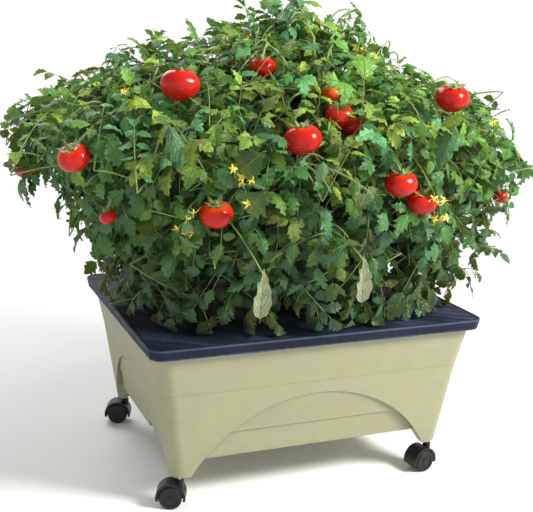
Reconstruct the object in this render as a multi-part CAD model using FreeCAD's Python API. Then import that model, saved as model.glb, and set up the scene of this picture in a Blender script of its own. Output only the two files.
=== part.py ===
import FreeCAD, Part
import os
from math import cos, radians, sin

from FreeCAD import Vector

# Patio grow box on four swivel casters, planted with tomatoes.
# Millimetres, +Z up. Origin on the ground under the middle of the box,
# +X along its long side, -Y towards the front.

# ---- driving dimensions ------------------------------------------------------
# box, seen from above, over the mulch cover
planter_length = 622.0
planter_width = 521.0
wall = 3.0
corner_radius = 24.0

# casters, from the ground up
wheel_diameter = 40.0
wheel_width = 12.0
wheel_edge_round = 2.5
wheel_dish_depth = 1.2
wheel_rim_width = 3.5
wheel_side_gap = 0.5
hood_gap = 1.5
hood_wall = 4.5
hood_side_cover = 1.2
hood_end_angle = 14.0
web_width = 9.0
axle_diameter = 4.0
axle_bury = 9.5
caster_trail = 15.0
swivel_boss_diameter = 14.0
swivel_boss_rise = 4.0
swivel_boss_depth = 12.0
stem_diameter = 6.4
stem_collar_diameter = 9.0
stem_neck = 6.0
stem_collar_height = 3.0
socket_wall = 1.8
socket_depth = 26.0
socket_flange = 2.0
socket_flange_height = 1.5
running_clearance = 0.05

# tub, from the leg feet up
leg_length = 27.0
tub_height = 247.0
kink_below_rim = 90.0
foot_inset = 51.0
kink_inset = 29.0
rim_inset = 12.0
leg_width_front = 34.0
leg_width_side = 19.0
socket_shift = 2.5
front_arch_below_rim = 113.0
side_arch_below_rim = 103.0
recess_top_depth = 1.5
recess_step_depth = 6.0
recess_step = 2.5
recess_foot_depth = 14.0
step_above_floor = 49.0
rim_lip_inset = 6.0
rim_lip_height = 13.0
drain_notch_width = 30.0
drain_notch_height = 12.0
drain_notch_depth = 8.0
drain_notch_offset = 50.0
drain_hole_diameter = 8.0
drain_hole_above_notch = 24.0

# inside the tub
screen_above_floor = 58.0
screen_thickness = 3.0
screen_wall_gap = 7.0
screen_foot_diameter = 24.0
screen_foot_wall = 2.0
screen_hole_diameter = 8.0
screen_hole_pitch = 42.0
screen_hole_columns = 10
screen_hole_rows = 8
mix_below_rim = 4.0
mix_gap = 0.5
tube_diameter = 32.0
tube_wall = 2.0
tube_above_rim = 62.0
tube_floor_gap = 3.0
tube_wall_gap = 6.0
tube_foot_cut = 45.0
hose_room = 140.0

# mulch cover and its elastic
cover_thickness = 2.2
cover_skirt = 21.0
cover_draw_in = 4.0
cover_edge_round = 3.0
planting_hole_diameter = 52.0
elastic_width = 5.0
elastic_thickness = 2.0

# plants
plant_spacing_x = 185.0
plant_spacing_y = 95.0
root_diameter = 18.0
root_depth = 60.0
stem_top_diameter = 7.0
stem_lean_x = 120.0
stem_lean_y = 90.0
stem_height = 400.0
crown_skin = 2.5
crown_above_cover = 6.5
fruit_gap = 0.6
piece_gap = 0.3
plant_gap = 1.0

# trellis inside the foliage
stake_diameter = 9.0
stake_x = 125.0
stake_y = -14.0
stake_depth = 110.0
rail_above_cover = 300.0
rail_diameter = 5.0
rail_overhang = 12.0
clip_wall = 2.0
clip_height = 12.0

# crown outline: height above the cover, spread past the outer plants along X and Y
crown_levels = [
    (0.0, 150.0, 140.0),
    (100.0, 215.0, 205.0),
    (190.0, 270.0, 255.0),
    (290.0, 325.0, 290.0),
    (380.0, 312.0, 278.0),
    (430.0, 225.0, 225.0),
    (500.0, 60.0, 130.0),
    (538.0, -80.0, 20.0),
]
crown_roundness = 0.62

# ripe fruit: plant, then place from the plant's root along X, Y and above the cover, diameter
fruits = [
    ("front_left", -73, -145, 416, 62),
    ("front_left", -233, -125, 306, 52),
    ("front_left", -40, -225, 229, 52),
    ("front_left", -181, -120, 212, 28),
    ("front_middle", -90, -55, 439, 46),
    ("front_middle", 5, -125, 401, 34),
    ("front_middle", -3, -175, 370, 46),
    ("front_middle", 32, -143, 349, 42),
    ("front_middle", -92, -235, 340, 60),
    ("front_middle", 70, -255, 270, 54),
    ("front_right", 6, -195, 398, 58),
    ("front_right", -66, -240, 236, 50),
    ("front_right", 178, -105, 211, 30),
    ("back_left", 5, 215, 295, 56),
    ("back_left", -262, -40, 255, 50),
    ("back_middle", -20, 235, 350, 58),
    ("back_right", 15, 205, 345, 60),
    ("back_right", 245, -45, 315, 54),
    ("back_right", 130, 150, 235, 44),
]

# half outline of a fruit from its tip up to its stalk, as shares of its radius
fruit_profile = [
    (0.0, -0.80),
    (0.45, -0.80),
    (0.86, -0.48),
    (1.0, 0.02),
    (0.86, 0.54),
    (0.50, 0.80),
    (0.20, 0.79),
    (0.0, 0.70),
]

# how each caster points, degrees about Z
caster_angles = {"front_left": -22.0, "front_right": 12.0, "back_left": -20.0, "back_right": -8.0}

# ---- worked-out places -------------------------------------------------------
half_length = planter_length / 2
half_width = planter_width / 2
wheel_radius = wheel_diameter / 2
hood_inner_radius = wheel_radius + hood_gap
hood_outer_radius = hood_inner_radius + hood_wall
hood_width = web_width + 2 * (wheel_side_gap + wheel_width) - 2 * hood_side_cover
boss_top_z = wheel_radius + hood_outer_radius + swivel_boss_rise
foot_z = boss_top_z + stem_neck
floor_z = foot_z + leg_length
rim_z = foot_z + tub_height
kink_z = rim_z - kink_below_rim
step_z = floor_z + step_above_floor
screen_z = floor_z + wall + screen_above_floor
mix_top_z = rim_z - mix_below_rim
cover_under_z = rim_z + piece_gap
cover_top_z = cover_under_z + cover_thickness
tube_top_z = rim_z + tube_above_rim
crown_z = cover_top_z + crown_above_cover
rail_z = cover_top_z + rail_above_cover

socket_radius = stem_diameter / 2 + socket_wall
stem_x = half_length - foot_inset - leg_width_front / 2
stem_y = half_width - foot_inset - leg_width_side / 2 - socket_shift
CORNERS = {
    "front_left": (-1, -1),
    "front_right": (1, -1),
    "back_left": (-1, 1),
    "back_right": (1, 1),
}
PLANTS = {
    "front_left": (-1, -1),
    "front_middle": (0, -1),
    "front_right": (1, -1),
    "back_left": (-1, 1),
    "back_middle": (0, 1),
    "back_right": (1, 1),
}
BIG = 2000.0
UP = Vector(0, 0, 1)
SLANT = Vector(1, 2, 3)  # keeps a sphere's poles off the flat sides that it crosses


# ---- building helpers --------------------------------------------------------
def box(low, high):
    size = [high[i] - low[i] for i in range(3)]
    return Part.makeBox(size[0], size[1], size[2], Vector(*low))


def rod(radius, start, end):
    run = Vector(*end) - Vector(*start)
    return Part.makeCylinder(radius, run.Length, Vector(*start), run)


def ring_wire(half_x, half_y, radius, z):
    """A rectangle with rounded corners at height z, centred on the origin."""
    radius = min(radius, 0.98 * half_x, 0.98 * half_y)
    dx, dy = half_x - radius, half_y - radius
    edges = []
    corners = [(1, 1), (-1, 1), (-1, -1), (1, -1)]
    for number, (sx, sy) in enumerate(corners):
        centre = Vector(sx * dx, sy * dy, z)
        turn = 90.0 * number
        points = []
        for angle in (turn, turn + 45.0, turn + 90.0):
            reach = Vector(radius * cos(radians(angle)), radius * sin(radians(angle)), 0)
            points.append(centre + reach)
        if edges:
            edges.append(Part.makeLine(edges[-1].Vertexes[-1].Point, points[0]))
        edges.append(Part.Arc(*points).toShape())
    edges.append(Part.makeLine(edges[-1].Vertexes[-1].Point, edges[0].Vertexes[0].Point))
    return Part.Wire(edges)


def slab(inset, low_z, high_z, radius=None):
    """A straight-sided rounded slab, inset from the cover's outline."""
    radius = corner_radius if radius is None else radius
    wire = ring_wire(half_length - inset, half_width - inset, radius, low_z)
    return Part.Face(wire).extrude(Vector(0, 0, high_z - low_z))


def prism(points, axis_start, axis_run):
    """A closed polygon of 3D points swept along a straight run."""
    corners = [Vector(*p) + axis_start for p in points]
    return Part.Face(Part.makePolygon(corners + corners[:1])).extrude(axis_run)


def wall_inset(z):
    """Inset of the tub's outer face from the cover's outline at height z."""
    if z <= kink_z:
        share = (z - foot_z) / (kink_z - foot_z)
        return foot_inset + share * (kink_inset - foot_inset)
    share = (z - kink_z) / (rim_z - kink_z)
    return kink_inset + share * (rim_inset - kink_inset)


def arch(half_span, top_z, grow):
    """Radius and centre height of the circle over two legs, grown by a thickness."""
    rise = top_z - foot_z
    radius = (half_span**2 + rise**2) / (2 * rise)
    return radius + grow, top_z - radius


# ---- tub ---------------------------------------------------------------------
FRONT_ARCH = (half_length - foot_inset - leg_width_front, rim_z - front_arch_below_rim)
SIDE_ARCH = (half_width - foot_inset - leg_width_side, rim_z - side_arch_below_rim)


def draft_body(offset, low_z, high_z):
    """The tapering four-sided form, inset by an offset."""
    heights = [low_z] + [z for z in (kink_z,) if low_z < z < high_z] + [high_z]
    wires = []
    for z in heights:
        inset = wall_inset(z) + offset
        wires.append(ring_wire(half_length - inset, half_width - inset, corner_radius - offset, z))
    return Part.makeLoft(wires, True, True)


def recess_profile(half, top_z, offset):
    """Depth profile of an arched recess: a polygon of (distance from the middle, height)."""
    low = foot_z - 1.0
    top = top_z + offset
    levels = [
        (low, recess_foot_depth),
        (step_z, recess_step_depth + recess_step),
        (step_z, recess_step_depth),
        (top, recess_top_depth),
    ]
    inner = [(half - wall_inset(z) - depth - offset, z) for z, depth in levels]
    return [(half, low)] + inner + [(half, top)]


def recesses(offset):
    """The arched recesses in all four sides."""
    cuts = []
    for half, span_top, along_x in (
        (half_width, FRONT_ARCH, True),
        (half_length, SIDE_ARCH, False),
    ):
        radius, centre_z = arch(span_top[0], span_top[1], offset)
        profile = recess_profile(half, span_top[1], offset)
        for side in (-1, 1):
            if along_x:
                points = [(0, side * d, z) for d, z in profile]
                panel = prism(points, Vector(-BIG / 2, 0, 0), Vector(BIG, 0, 0))
                round_part = rod(radius, (0, 0, centre_z), (0, side * BIG, centre_z))
            else:
                points = [(side * d, 0, z) for d, z in profile]
                panel = prism(points, Vector(0, -BIG / 2, 0), Vector(0, BIG, 0))
                round_part = rod(radius, (0, 0, centre_z), (side * BIG, 0, centre_z))
            cuts.append(panel.common(round_part))
    return cuts


def leg_tunnels():
    """The space between the legs, under the floor, arched both ways."""
    under = box((-BIG / 2, -BIG / 2, -BIG), (BIG / 2, BIG / 2, floor_z))
    radius, centre_z = arch(FRONT_ARCH[0], FRONT_ARCH[1], 0)
    along_y = rod(radius, (0, -BIG / 2, centre_z), (0, BIG / 2, centre_z))
    radius, centre_z = arch(SIDE_ARCH[0], SIDE_ARCH[1], 0)
    along_x = rod(radius, (-BIG / 2, 0, centre_z), (BIG / 2, 0, centre_z))
    return [under.common(along_y), under.common(along_x)]


def drain_notch(grow):
    """The small notch in the bottom edge of the left side, grown by a thickness."""
    outer_x = -half_length
    panel_x = -(half_length - wall_inset(floor_z) - recess_foot_depth)
    return box(
        (outer_x, -drain_notch_offset - drain_notch_width / 2 - grow, floor_z - BIG),
        (
            panel_x + drain_notch_depth + grow,
            -drain_notch_offset + drain_notch_width / 2 + grow,
            floor_z + drain_notch_height + grow,
        ),
    )


def planter_tub():
    outer = draft_body(0, foot_z, rim_z)
    outer = outer.cut(recesses(0) + leg_tunnels() + [drain_notch(0)])
    cavity = draft_body(wall, floor_z + wall, rim_z + wall)
    cavity = cavity.cut(recesses(wall) + [drain_notch(wall)])
    flange = slab(rim_lip_inset, rim_z - rim_lip_height, rim_z)
    groove = slab(rim_lip_inset + wall, rim_z - rim_lip_height, rim_z - wall)
    rim = flange.cut(groove.cut(draft_body(0, rim_z - rim_lip_height, rim_z - wall)))
    tub = outer.fuse(rim).cut(cavity)
    holes = []
    for sx, sy in CORNERS.values():
        x, y = sx * stem_x, sy * stem_y
        holes.append(rod(socket_radius, (x, y, foot_z), (x, y, foot_z + socket_depth)))
    drain_y = -drain_notch_offset
    drain_z = floor_z + drain_notch_height + drain_hole_above_notch
    holes.append(rod(drain_hole_diameter / 2, (-half_length, drain_y, drain_z), (0, drain_y, drain_z)))
    return tub.cut(holes).removeSplitter()


# ---- reservoir, watering and growing mix ------------------------------------
def tube_place():
    """The fill tube stands in the back right corner, clear of the recessed walls."""
    inset = wall_inset(floor_z) + recess_foot_depth + wall + tube_wall_gap + tube_diameter / 2
    return half_length - inset, half_width - inset


def screen_inset():
    return wall_inset(screen_z) + recess_step_depth + wall + screen_wall_gap


def aeration_screen():
    inset = screen_inset()
    plate = slab(inset, screen_z, screen_z + screen_thickness)
    x, y = tube_place()
    foot_x = half_length - inset - screen_foot_diameter
    foot_y = half_width - inset - screen_foot_diameter
    feet, cores = [], []
    for fx, fy in [(-1, -1), (0, -1), (1, -1), (-1, 1), (0, 1), (1, 0)]:
        base = (fx * foot_x, fy * foot_y, floor_z + wall)
        top = (base[0], base[1], screen_z)
        feet.append(rod(screen_foot_diameter / 2, base, top))
        cores.append(rod(screen_foot_diameter / 2 - screen_foot_wall, base, top))
    tube_way = rod(tube_diameter / 2 + 1.0, (x, y, screen_z - 1), (x, y, screen_z + BIG))
    holes = [tube_way]
    for column in range(screen_hole_columns):
        for row in range(screen_hole_rows):
            hole_x = (column - (screen_hole_columns - 1) / 2) * screen_hole_pitch
            hole_y = (row - (screen_hole_rows - 1) / 2) * screen_hole_pitch
            start = (hole_x, hole_y, screen_z)
            end = (hole_x, hole_y, screen_z + screen_thickness)
            holes.append(rod(screen_hole_diameter / 2, start, end))
    return plate.fuse(feet).cut(cores).cut(holes)


def fill_tube():
    x, y = tube_place()
    foot = floor_z + wall + tube_floor_gap
    tube = rod(tube_diameter / 2, (x, y, foot), (x, y, tube_top_z))
    tube = tube.cut(rod(tube_diameter / 2 - tube_wall, (x, y, foot), (x, y, tube_top_z)))
    cutter = box((-BIG, -BIG, -BIG), (BIG, BIG, 0))
    cutter.rotate(Vector(0, 0, 0), Vector(0, 1, 0), tube_foot_cut)
    cutter.translate(Vector(x + tube_diameter / 2, y, foot))
    return tube.cut(cutter)


def potting_mix():
    low = screen_z + screen_thickness + piece_gap
    mix = draft_body(wall + mix_gap, low, mix_top_z).cut(recesses(wall + mix_gap))
    x, y = tube_place()
    ways = [rod(tube_diameter / 2 + piece_gap, (x, y, low), (x, y, rim_z))]
    for name in PLANTS:
        x, y = plant_place(name)
        top = (x, y, rim_z)
        ways.append(rod(root_diameter / 2 + piece_gap, (x, y, root_z()), top))
    for x in (-stake_x, stake_x):
        bottom = (x, stake_y, mix_top_z - stake_depth)
        ways.append(rod(stake_diameter / 2 + piece_gap, bottom, (x, stake_y, rim_z)))
    return mix.cut(ways)


# ---- mulch cover -------------------------------------------------------------
def cover_radius(inset):
    """Corner radius that keeps the cover and its elastic even around the tub's lip."""
    return corner_radius + rim_lip_inset - inset


def skirted_lid(inset, low_z, high_z):
    """A lid form whose sides draw in towards the hem."""
    low = inset + cover_draw_in
    lower = ring_wire(half_length - low, half_width - low, cover_radius(low), low_z)
    upper = ring_wire(half_length - inset, half_width - inset, cover_radius(inset), high_z)
    return Part.makeLoft([lower, upper], True, True)


def mulch_cover():
    low = cover_top_z - cover_skirt
    outer = skirted_lid(0, low, cover_top_z)
    top_edges = [e for e in outer.Edges if all(v.Z > cover_top_z - 0.01 for v in e.Vertexes)]
    outer = outer.makeFillet(cover_edge_round, top_edges)
    inner = skirted_lid(cover_thickness, low, cover_under_z)
    cover = outer.cut(inner)
    x, y = tube_place()
    hole_low, hole_high = cover_under_z, cover_top_z
    holes = [rod(tube_diameter / 2 + 1.0, (x, y, hole_low), (x, y, hole_high))]
    for name in PLANTS:
        x, y = plant_place(name)
        holes.append(rod(planting_hole_diameter / 2, (x, y, hole_low), (x, y, hole_high)))
    for x in (-stake_x, stake_x):
        start = (x, stake_y, hole_low)
        holes.append(rod(stake_diameter / 2 + 1.0, start, (x, stake_y, hole_high)))
    return cover.cut(holes)


def cover_elastic():
    low = cover_top_z - cover_skirt
    high = low + elastic_width
    outer_inset = cover_thickness + cover_draw_in + piece_gap
    inner_inset = outer_inset + elastic_thickness
    outer = slab(outer_inset, low, high, cover_radius(outer_inset))
    return outer.cut(slab(inner_inset, low, high, cover_radius(inner_inset)))


# ---- casters -----------------------------------------------------------------
def placed(shape, corner):
    """Turns a caster piece, drawn about its swivel axis, and moves it to its leg."""
    sx, sy = CORNERS[corner]
    shape = shape.copy()
    shape.rotate(Vector(0, 0, 0), UP, caster_angles[corner])
    shape.translate(Vector(sx * stem_x, sy * stem_y, 0))
    return shape


def axle_rod(radius, low_y, high_y):
    return rod(radius, (-caster_trail, low_y, wheel_radius), (-caster_trail, high_y, wheel_radius))


def caster_socket():
    top = foot_z + socket_depth - 1.0
    sleeve = rod(socket_radius, (0, 0, foot_z), (0, 0, top))
    flange = rod(socket_radius + socket_flange, (0, 0, foot_z - socket_flange_height), (0, 0, foot_z))
    bore = rod(stem_diameter / 2, (0, 0, foot_z - BIG), (0, 0, top - socket_wall))
    return sleeve.fuse(flange).cut(bore)


def caster_stem():
    bottom = boss_top_z - swivel_boss_depth + piece_gap
    top = foot_z + socket_depth - 1.0 - socket_wall
    stem = rod(stem_diameter / 2, (0, 0, bottom), (0, 0, top))
    collar_z = foot_z - socket_flange_height - stem_collar_height
    collar = rod(stem_collar_diameter / 2, (0, 0, collar_z), (0, 0, collar_z + stem_collar_height))
    return stem.fuse(collar)


def caster_hood():
    """Two curved mudguards and the web between the wheels, under a swivel boss."""
    half, half_web = hood_width / 2, web_width / 2
    boss_low = wheel_radius + hood_inner_radius / 2
    boss = rod(swivel_boss_diameter / 2, (0, 0, boss_low), (0, 0, boss_top_z))
    hood = axle_rod(hood_outer_radius, -half, half).fuse(boss)
    wells = axle_rod(hood_inner_radius, -half, half).cut(axle_rod(BIG, -half_web, half_web))
    drop = -BIG * sin(radians(hood_end_angle))
    below = prism(
        [(0, 0, 0), (BIG, 0, drop), (BIG, 0, -BIG), (-BIG, 0, -BIG), (-BIG, 0, drop)],
        Vector(-caster_trail, -BIG / 2, wheel_radius),
        Vector(0, BIG, 0),
    )
    hood = hood.cut([wells, below]).fuse(axle_rod(axle_diameter, -half_web, half_web))
    bore_radius = stem_diameter / 2 + running_clearance
    bore = rod(bore_radius, (0, 0, boss_top_z - swivel_boss_depth), (0, 0, boss_top_z))
    return hood.cut([bore, axle_rod(axle_diameter / 2, -half, half)]).removeSplitter()


def caster_axle():
    reach = web_width / 2 + wheel_side_gap + axle_bury
    return axle_rod(axle_diameter / 2, -reach, reach)


def caster_wheel(side):
    """A dished disc wheel with a rounded tread and a blind bore for the axle."""
    inner = web_width / 2 + wheel_side_gap
    outer = inner + wheel_width
    wheel = axle_rod(wheel_radius, inner, outer)
    rims = [e for e in wheel.Edges if abs(e.Length - 2 * 3.14159265 * wheel_radius) < 0.01]
    wheel = wheel.makeFillet(wheel_edge_round, rims)
    dish = axle_rod(wheel_radius - wheel_edge_round - wheel_rim_width, outer - wheel_dish_depth, outer)
    hub = axle_rod(axle_diameter * 1.25, outer - wheel_dish_depth, outer)
    bore = axle_rod(axle_diameter / 2 + running_clearance, inner, inner + axle_bury + piece_gap)
    wheel = wheel.cut(dish).fuse(hub).cut(bore)
    if side < 0:
        wheel = wheel.mirror(Vector(0, 0, 0), Vector(0, 1, 0))
    return wheel


# ---- plants ------------------------------------------------------------------
def plant_place(name):
    column, row = PLANTS[name]
    return column * plant_spacing_x, row * plant_spacing_y


def root_z():
    return mix_top_z - root_depth


def stem_cone(name, grow):
    """The leaning main stem above the cover, grown by a clearance."""
    column, row = PLANTS[name]
    x, y = plant_place(name)
    run = Vector(column * stem_lean_x, row * stem_lean_y, stem_height)
    base = Vector(x, y, cover_top_z)
    low, high = root_diameter / 2 + grow, stem_top_diameter / 2 + grow
    return Part.makeCone(low, high, run.Length, base, run)


def plant_stem(name):
    x, y = plant_place(name)
    root = rod(root_diameter / 2, (x, y, root_z() + piece_gap), (x, y, cover_top_z))
    knee = Part.makeSphere(root_diameter / 2, Vector(x, y, cover_top_z))
    return root.fuse([knee, stem_cone(name, 0)])


def crown_mound(shrink):
    """The outline of all the foliage together, drawn in by a skin thickness."""
    wires = []
    last = len(crown_levels) - 1
    for number, (height, spread_x, spread_y) in enumerate(crown_levels):
        half_x = plant_spacing_x + spread_x - shrink
        half_y = plant_spacing_y + spread_y - shrink
        z = crown_z + height
        if number == 0:
            z += shrink
        elif number == last:
            z -= shrink
        wires.append(ring_wire(half_x, half_y, crown_roundness * min(half_x, half_y), z))
    return Part.makeLoft(wires, True, True)


def crown_cell(name, shrink):
    """The part of the foliage that one plant fills."""
    column, row = PLANTS[name]
    edge = plant_gap / 2 + shrink
    middle = plant_spacing_x / 2
    x_range = {-1: (-BIG, -middle - edge), 0: (-middle + edge, middle - edge), 1: (middle + edge, BIG)}
    y_range = {-1: (-BIG, -edge), 1: (edge, BIG)}
    low_x, high_x = x_range[column]
    low_y, high_y = y_range[row]
    return box((low_x, low_y, 0), (high_x, high_y, BIG))


def tube_bay(grow):
    """The corner that the back right plant leaves free for pouring into the fill tube."""
    x, y = tube_place()
    reach = tube_diameter + grow
    high = tube_top_z + hose_room + grow
    return box((x - reach, y - reach, 0), (BIG, BIG, high))


def plant_crown(name):
    skin = crown_mound(0).common(crown_cell(name, 0))
    hollow = crown_mound(crown_skin).common(crown_cell(name, crown_skin))
    if name == "back_right":
        skin = skin.cut(tube_bay(0))
        hollow = hollow.cut(tube_bay(crown_skin))
    ways = [hollow, stem_cone(name, 1.0)]
    for plant, dx, dy, height, diameter in fruits:
        x, y = plant_place(plant)
        centre = Vector(x + dx, y + dy, cover_top_z + height)
        ways.append(Part.makeSphere(diameter / 2 + fruit_gap, centre, SLANT))
    x_low, x_high = -stake_x - rail_overhang, stake_x + rail_overhang
    stake_top = rail_z + clip_height
    for x in (-stake_x, stake_x):
        stake = rod(stake_diameter / 2 + clip_wall + 1, (x, stake_y, crown_z - 1), (x, stake_y, stake_top))
        ways.append(stake)
    rail_y = stake_y - stake_diameter / 2 - rail_diameter / 2
    ways.append(rod(rail_diameter / 2 + 1, (x_low, rail_y, rail_z), (x_high, rail_y, rail_z)))
    return skin.cut(ways)


def fruit_shape(diameter):
    """A ripe tomato: flattened, dimpled a little below and more at the stalk."""
    radius = diameter / 2
    curve = Part.BSplineCurve()
    curve.interpolate([Vector(radius * x, 0, radius * z) for x, z in fruit_profile])
    axis_line = Part.makeLine(curve.EndPoint, curve.StartPoint)
    face = Part.Face(Part.Wire([curve.toShape(), axis_line]))
    return face.revolve(Vector(0, 0, 0), UP, 360)


def plant_fruit(name):
    """All the ripe fruit of one plant."""
    solids = []
    x, y = plant_place(name)
    for plant, dx, dy, height, diameter in fruits:
        if plant == name:
            fruit = fruit_shape(diameter)
            fruit.translate(Vector(x + dx, y + dy, cover_top_z + height))
            solids.append(fruit)
    return Part.makeCompound(solids)


# ---- trellis -----------------------------------------------------------------
def stake(side):
    x = side * stake_x
    return rod(stake_diameter / 2, (x, stake_y, mix_top_z - stake_depth + piece_gap),
               (x, stake_y, rail_z + clip_height))


def rail():
    y = stake_y - stake_diameter / 2 - rail_diameter / 2
    reach = stake_x + rail_overhang
    return rod(rail_diameter / 2, (-reach, y, rail_z), (reach, y, rail_z))


def rail_clips():
    """Two snap clips that hold the rail against the stakes."""
    solids = []
    rail_y = stake_y - stake_diameter / 2 - rail_diameter / 2
    for x in (-stake_x, stake_x):
        low, high = rail_z - clip_height / 2, rail_z + clip_height / 2
        around_stake = rod(stake_diameter / 2 + clip_wall, (x, stake_y, low), (x, stake_y, high))
        reach = clip_height / 2
        rail_low, rail_high = (x - reach, rail_y, rail_z), (x + reach, rail_y, rail_z)
        around_rail = rod(rail_diameter / 2 + clip_wall, rail_low, rail_high)
        clip = around_stake.fuse(around_rail)
        clip = clip.cut([stake(-1 if x < 0 else 1), rail()])
        solids.append(clip)
    return Part.makeCompound(solids)


# ---- writing -----------------------------------------------------------------
def build():
    pieces = {
        "planter_tub": planter_tub(),
        "aeration_screen": aeration_screen(),
        "fill_tube": fill_tube(),
        "potting_mix": potting_mix(),
        "mulch_cover": mulch_cover(),
        "cover_elastic": cover_elastic(),
        "trellis_stake_left": stake(-1),
        "trellis_stake_right": stake(1),
        "trellis_rail": rail(),
        "trellis_clips": rail_clips(),
    }
    for corner in CORNERS:
        name = "caster_" + corner
        pieces[name + "_socket"] = placed(caster_socket(), corner)
        pieces[name + "_stem"] = placed(caster_stem(), corner)
        pieces[name + "_hood"] = placed(caster_hood(), corner)
        pieces[name + "_axle"] = placed(caster_axle(), corner)
        pieces[name + "_wheel_front"] = placed(caster_wheel(-1), corner)
        pieces[name + "_wheel_back"] = placed(caster_wheel(1), corner)
    for plant in PLANTS:
        name = "plant_" + plant
        pieces[name + "_stem"] = plant_stem(plant)
        pieces[name + "_crown"] = plant_crown(plant)
        pieces[name + "_fruit"] = plant_fruit(plant)
    return pieces


os.makedirs("parts", exist_ok=True)
for node, shape in build().items():
    shape.exportStep("parts/" + node + ".step")
    state = "valid" if shape.isValid() else "INVALID"
    print(node, state, len(shape.Solids), "solids", round(shape.Volume), "mm3")
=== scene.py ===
from math import cos, pi, radians, sin

import bmesh
import bpy
import numpy as np
from mathutils import Matrix, Vector
from numpy.linalg import norm


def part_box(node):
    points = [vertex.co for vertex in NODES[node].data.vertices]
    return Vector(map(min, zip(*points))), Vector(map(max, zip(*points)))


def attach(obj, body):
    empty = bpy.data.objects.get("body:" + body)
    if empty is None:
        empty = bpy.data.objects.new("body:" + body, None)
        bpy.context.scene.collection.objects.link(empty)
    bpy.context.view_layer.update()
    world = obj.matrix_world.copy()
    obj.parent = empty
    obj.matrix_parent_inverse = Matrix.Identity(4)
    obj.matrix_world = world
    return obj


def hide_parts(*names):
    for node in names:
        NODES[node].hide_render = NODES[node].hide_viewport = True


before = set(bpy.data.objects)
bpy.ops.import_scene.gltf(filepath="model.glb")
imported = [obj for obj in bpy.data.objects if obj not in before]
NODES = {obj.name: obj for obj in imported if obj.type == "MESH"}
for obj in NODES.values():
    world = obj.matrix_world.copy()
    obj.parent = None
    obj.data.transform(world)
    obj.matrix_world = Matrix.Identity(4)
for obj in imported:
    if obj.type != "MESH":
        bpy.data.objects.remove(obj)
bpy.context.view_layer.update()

# Tomato plants in a patio grow box on casters. Metres, in the frame of the CAD model.
PLANTS = ("front_left", "front_middle", "front_right", "back_left", "back_middle", "back_right")
COVER_LOW, COVER_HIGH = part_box("mulch_cover")
HALF_LENGTH, HALF_WIDTH, COVER_Z = (float(c) for c in COVER_HIGH)
HEM_Z = float(COVER_LOW[2])
SEAM_Z = 0.213
UP = np.array((0.0, 0.0, 1.0))
rng = np.random.default_rng(7)


def unit(v):
    return v / np.maximum(norm(v, axis=-1, keepdims=True), 1e-12)


def box_of(name):
    return (np.array(c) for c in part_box(name))


# ---- camera ----
VIEW_AZIMUTH, VIEW_HEIGHT, VIEW_ROLL = radians(-21.87), radians(13.19), radians(1.43)
VIEW_DISTANCE, VIEW_LENS = 1.8803, 66.48
VIEW_TARGET = np.array((-0.0118, 0.0052, 0.3821))
VIEW_BACK = np.array((
    sin(VIEW_AZIMUTH) * cos(VIEW_HEIGHT),
    -cos(VIEW_AZIMUTH) * cos(VIEW_HEIGHT),
    sin(VIEW_HEIGHT),
))
CAMERA_PLACE = VIEW_TARGET + VIEW_BACK * VIEW_DISTANCE


def towards_camera(point):
    return unit(CAMERA_PLACE - point)


def make_camera():
    right = unit(np.cross(-VIEW_BACK, UP))
    up = np.cross(right, -VIEW_BACK)
    c, s = cos(VIEW_ROLL), sin(VIEW_ROLL)
    right, up = c * right + s * up, c * up - s * right
    data = bpy.data.cameras.new("camera")
    data.sensor_width = 36.0
    data.lens = VIEW_LENS
    data.clip_end = 50.0
    camera = bpy.data.objects.new("camera", data)
    bpy.context.scene.collection.objects.link(camera)
    rows = np.column_stack([right, up, VIEW_BACK, CAMERA_PLACE])
    camera.matrix_world = Matrix([*rows, (0, 0, 0, 1)])
    bpy.context.scene.camera = camera


# ---- shader nodes ----
def plug(nt, node, sockets):
    """Fills a node's inputs: a socket is linked, anything else is set as a value."""
    for key, term in dict(sockets).items():
        if isinstance(term, bpy.types.NodeSocket):
            nt.links.new(term, node.inputs[key])
        else:
            node.inputs[key].default_value = term


def add(nt, kind, sockets=(), **settings):
    """A shader node with its settings made and its inputs filled."""
    node = nt.nodes.new("ShaderNode" + kind)
    for key, value in settings.items():
        setattr(node, key, value)
    plug(nt, node, sockets)
    return node


def math(nt, operation, *terms, **settings):
    """The result of a math node; a term is a socket or a number."""
    return add(nt, "Math", enumerate(terms), operation=operation, **settings).outputs[0]


def mix(nt, factor, first, second, blend="MIX"):
    """Two colours, mixed by factor."""
    sockets = {0: factor, 6: first, 7: second}
    return add(nt, "Mix", sockets, data_type="RGBA", blend_type=blend).outputs[2]


def ramp(nt, factor, stops):
    """The colour at factor between (place, colour) stops."""
    node = add(nt, "ValToRGB", {"Fac": factor})
    while len(node.color_ramp.elements) < len(stops):
        node.color_ramp.elements.new(0.5)
    for element, (at, colour) in zip(node.color_ramp.elements, stops):
        element.position = at
        element.color = (*colour, 1)
    return node.outputs["Color"]


def spread(nt, socket, low, high, source=(0.3, 0.7)):
    """socket, mapped from the source range to low..high."""
    return add(nt, "MapRange", {
        "Value": socket, "From Min": source[0], "From Max": source[1], "To Min": low, "To Max": high,
    }).outputs["Result"]


def noise(nt, scale, detail=4.0, stretch=None, distortion=0.0):
    place = add(nt, "TexCoord").outputs["Object"]
    if stretch:
        place = add(nt, "Mapping", {"Scale": stretch, "Vector": place}).outputs["Vector"]
    sockets = {"Scale": scale, "Detail": detail, "Distortion": distortion, "Vector": place}
    return add(nt, "TexNoise", sockets).outputs["Fac"]


def height_of(nt, kind="Object"):
    """How high the shaded place is."""
    place = add(nt, "TexCoord").outputs[kind]
    return add(nt, "SeparateXYZ", {"Vector": place}).outputs["Z"]


def distance(nt, value, level):
    return math(nt, "ABSOLUTE", math(nt, "SUBTRACT", value, level))


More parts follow.
